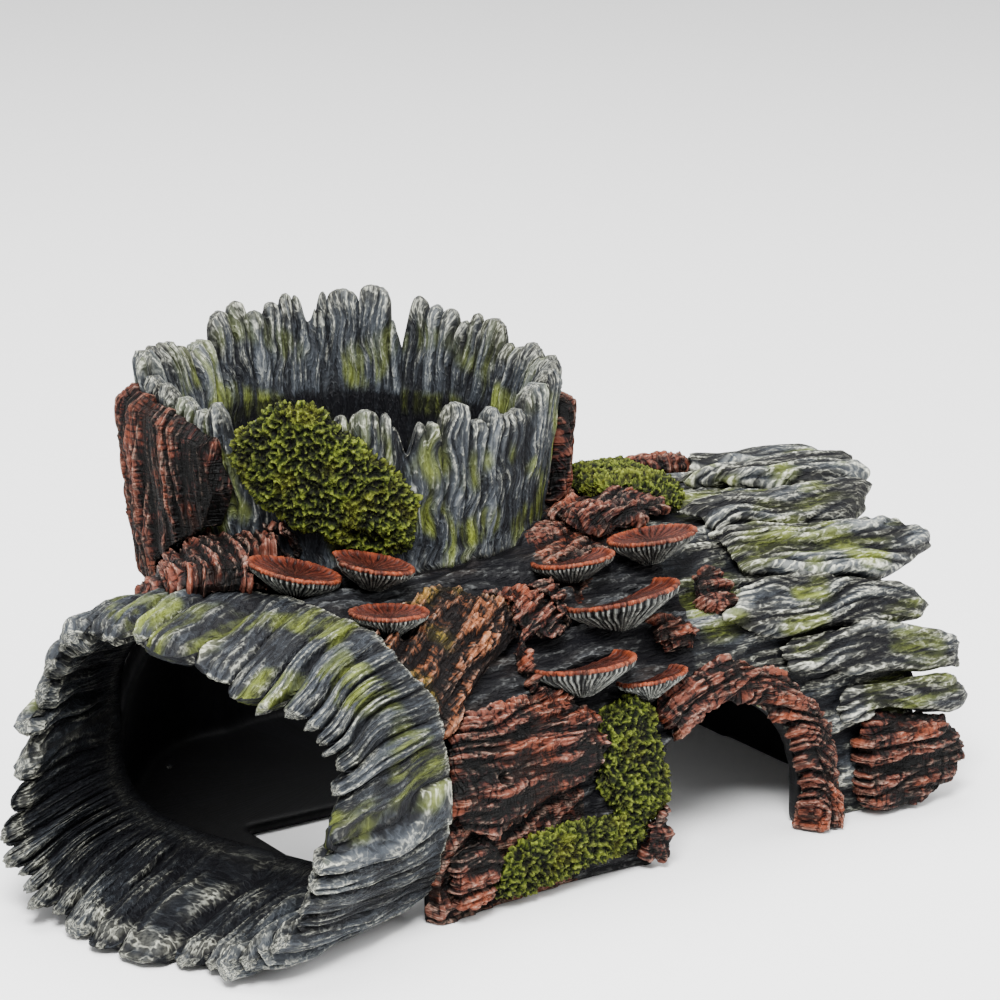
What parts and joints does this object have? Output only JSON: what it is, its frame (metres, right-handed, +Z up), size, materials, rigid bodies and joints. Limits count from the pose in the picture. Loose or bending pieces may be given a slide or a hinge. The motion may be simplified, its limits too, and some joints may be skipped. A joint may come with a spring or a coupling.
{
  "type": "resin cave ornament",
  "caption": "Hollow log cave with a flared mouth, an open-topped upright stump, a side arch, bark plates, bracket mushrooms and moss, for fish to swim through.",
  "frame": {"origin": "middle of the bottom of the bounding box, on the floor it stands on", "axes": "+X along the log from its mouth to its tail, +Y to the back, +Z up out of the stump"},
  "size_m": [0.242, 0.1638, 0.111],
  "materials": {
    "driftwood_resin": "cast resin, charcoal with pale dry-brushed ridges",
    "bark_resin": "cast resin, red-brown with dark cracks",
    "moss_resin": "cast resin, yellow-green and rough",
    "fungus_resin": "cast resin, orange-red with pale gills"
  },
  "bodies": {
    "root": {"bark_below_fungus": "bark_resin", "bark_beside_centre": "bark_resin", "bark_centre": "bark_resin", "bark_chip_lower": "bark_resin", "bark_chip_upper": "bark_resin", "bark_crest": "bark_resin", "bark_front": "bark_resin", "bark_jamb": "bark_resin", "bark_low": "bark_resin", "bark_shoulder": "bark_resin", "bark_stump_chip": "bark_resin", "bark_stump_left": "bark_resin", "bark_stump_right": "bark_resin", "bark_tail_foot": "bark_resin", "bark_top": "bark_resin", "log_shell": "driftwood_resin", "moss_front": "moss_resin", "moss_stump": "moss_resin", "moss_top": "moss_resin", "mouth_flare": "driftwood_resin", "mushroom_1": "fungus_resin", "mushroom_2": "fungus_resin", "mushroom_3": "fungus_resin", "mushroom_4": "fungus_resin", "mushroom_5": "fungus_resin", "mushroom_6": "fungus_resin", "mushroom_7": "fungus_resin", "mushroom_8": "fungus_resin", "root_arch": "bark_resin", "strand_1": "driftwood_resin", "strand_2": "driftwood_resin", "strand_3": "driftwood_resin", "strand_4": "driftwood_resin", "strand_5": "driftwood_resin", "strand_6": "driftwood_resin", "strand_7": "driftwood_resin", "stump_crown": "driftwood_resin"}
  },
  "joints": []
}
